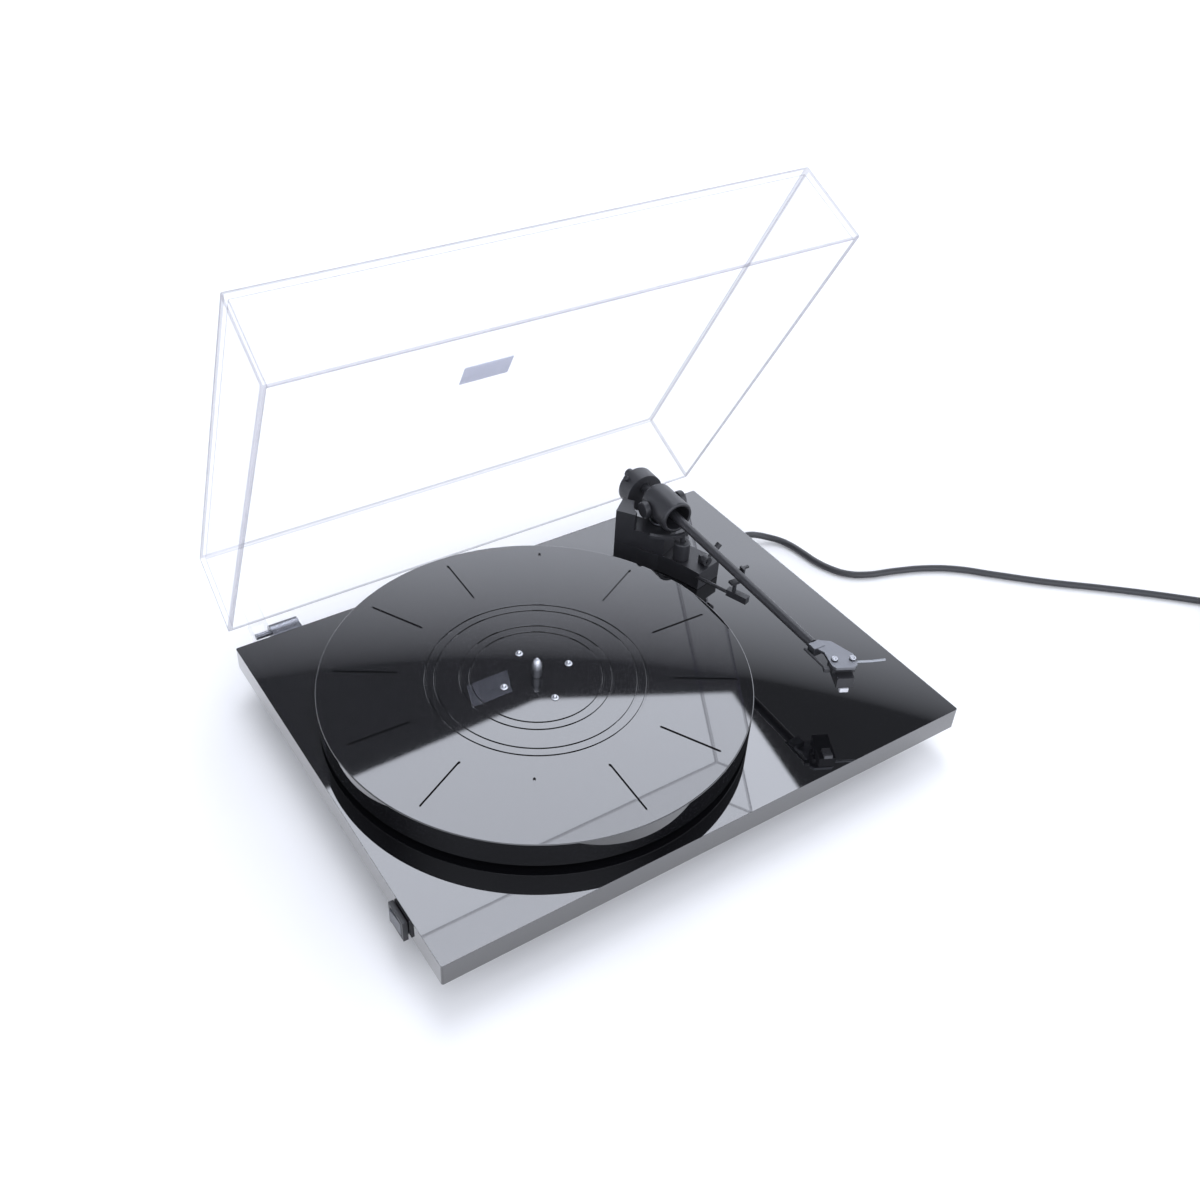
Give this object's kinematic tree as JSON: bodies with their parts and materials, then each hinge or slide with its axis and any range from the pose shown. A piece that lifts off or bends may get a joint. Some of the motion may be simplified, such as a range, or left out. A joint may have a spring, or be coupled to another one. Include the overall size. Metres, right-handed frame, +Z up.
{
  "type": "turntable record player",
  "caption": "Belt-drive record player: gloss black slab plinth and platter, straight tonearm with counterweight, and a hinged clear lid propped open.",
  "frame": {"origin": "on the supporting surface, under the middle of the player's outline with its lid open (the lead not counted)", "axes": "+X to the player's right, +Y to the back (the hinge side), +Z up"},
  "size_m": [0.7971, 0.5344, 0.3542],
  "materials": {
    "gloss_black": "high-gloss black lacquer on board, mirror-like",
    "platter_gloss": "high-gloss black, mirror-like top face",
    "satin_black": "satin black moulding",
    "rubber": "matte black rubber",
    "belt_rubber": "matte black flat belt",
    "cord_jacket": "satin black flexible jacket",
    "chrome": "bright plated",
    "steel": "brushed",
    "brass": "turned",
    "clear_plastic": "water-clear acrylic with pale violet edges",
    "headshell_metal": "grey satin",
    "pale_plastic": "pale grey",
    "weight_metal": "satin black paint",
    "grey_plastic": "dark grey",
    "badge_metal": "plain satin grey, no lettering"
  },
  "bodies": {
    "chassis": {"plinth": "gloss_black", "foot_front_left": "rubber", "foot_front_right": "rubber", "foot_rear_left": "rubber", "foot_rear_right": "rubber", "main_bearing_housing": "brass", "motor_body": "steel", "motor_plate": "satin_black", "drive_belt": "belt_rubber", "arm_base": "satin_black", "arm_pedestal": "satin_black", "lift_cylinder": "satin_black", "arm_rest_rod": "satin_black", "arm_rest": "satin_black", "hinge_bracket_left": "chrome", "hinge_bracket_right": "chrome", "switch_bezel": "satin_black", "supply_box": "satin_black", "socket_box": "satin_black", "signal_socket_left": "brass", "signal_socket_right": "brass", "ground_post": "steel", "cord_gland": "cord_jacket", "cord_run": "cord_jacket", "cord_coil": "cord_jacket", "cord_tie": "satin_black", "cord_tail": "cord_jacket", "mains_plug": "cord_jacket"},
    "platter_body": {"platter": "platter_gloss", "subplatter": "satin_black", "spindle": "chrome", "platter_screw_1": "chrome", "platter_screw_2": "chrome", "platter_screw_3": "chrome", "platter_screw_4": "chrome"},
    "motor_rotor": {"motor_pulley": "brass"},
    "arm_gimbal": {"bearing_housing": "satin_black", "pivot_pin": "steel", "bearing_cap_left": "satin_black", "bearing_cap_right": "satin_black", "yaw_shaft": "steel"},
    "arm": {"arm_tube": "satin_black", "headshell": "headshell_metal", "cartridge_body": "satin_black", "cartridge_screw_left": "chrome", "cartridge_screw_right": "chrome", "stylus_unit": "pale_plastic", "finger_lift": "steel", "lead_guide": "satin_black"},
    "balance_weight": {"counterweight": "weight_metal", "weight_lock_screw": "satin_black"},
    "cue": {"cue_lever": "weight_metal"},
    "lift": {"lift_bar": "satin_black"},
    "rocker": {"switch_rocker": "grey_plastic"},
    "lid": {"lid_shell": "clear_plastic", "lid_hinge_tab_left": "clear_plastic", "lid_hinge_tab_right": "clear_plastic", "lid_pad_left": "clear_plastic", "lid_pad_right": "clear_plastic", "lid_badge": "badge_metal"}
  },
  "joints": [
    {"name": "platter_spin", "type": "hinge", "parent": "chassis", "child": "platter_body", "pos_m": [-0.045, -0.03169, 0.0515], "axis": [0, 0, -1], "continuous": true},
    {"name": "motor_spin", "type": "hinge", "parent": "chassis", "child": "motor_rotor", "pos_m": [-0.1175, 0.04181, 0.0515], "axis": [0, 0, -1], "continuous": true},
    {"name": "arm_swing", "type": "hinge", "parent": "chassis", "child": "arm_gimbal", "pos_m": [0.1295, 0.06681, 0.0895], "axis": [0, 0, -1], "range_deg": [0, 48]},
    {"name": "arm_lift", "type": "hinge", "parent": "arm_gimbal", "child": "arm", "pos_m": [0.1295, 0.06681, 0.0895], "axis": [-0.9993, 0.0384, 0], "range_deg": [-1.72, 15]},
    {"name": "weight_slide", "type": "slide", "parent": "arm", "child": "balance_weight", "axis": [0.0384, 0.9993, 0], "range_m": [-0.005, 0.005]},
    {"name": "cue_turn", "type": "hinge", "parent": "chassis", "child": "cue", "pos_m": [0.1395, 0.01831, 0.062], "axis": [0, -1, 0], "range_deg": [0, 60]},
    {"name": "lift_rise", "type": "slide", "parent": "chassis", "child": "lift", "axis": [0, 0, 1], "range_m": [0, 0.0035]},
    {"name": "power_rock", "type": "hinge", "parent": "chassis", "child": "rocker", "pos_m": [-0.2059, -0.13969, 0.027], "axis": [0, 0, -1], "range_deg": [0, 10]},
    {"name": "lid_hinge", "type": "hinge", "parent": "chassis", "child": "lid", "pos_m": [0.0025, 0.13451, 0.0367], "axis": [-1, 0, 0], "range_deg": [-61.45, 8.5]}
  ],
  "couplings": [
    {"joint": "motor_spin", "follows": "platter_spin", "ratio": 10},
    {"joint": "lift_rise", "follows": "cue_turn", "m_per_rad": 0.00334}
  ]
}
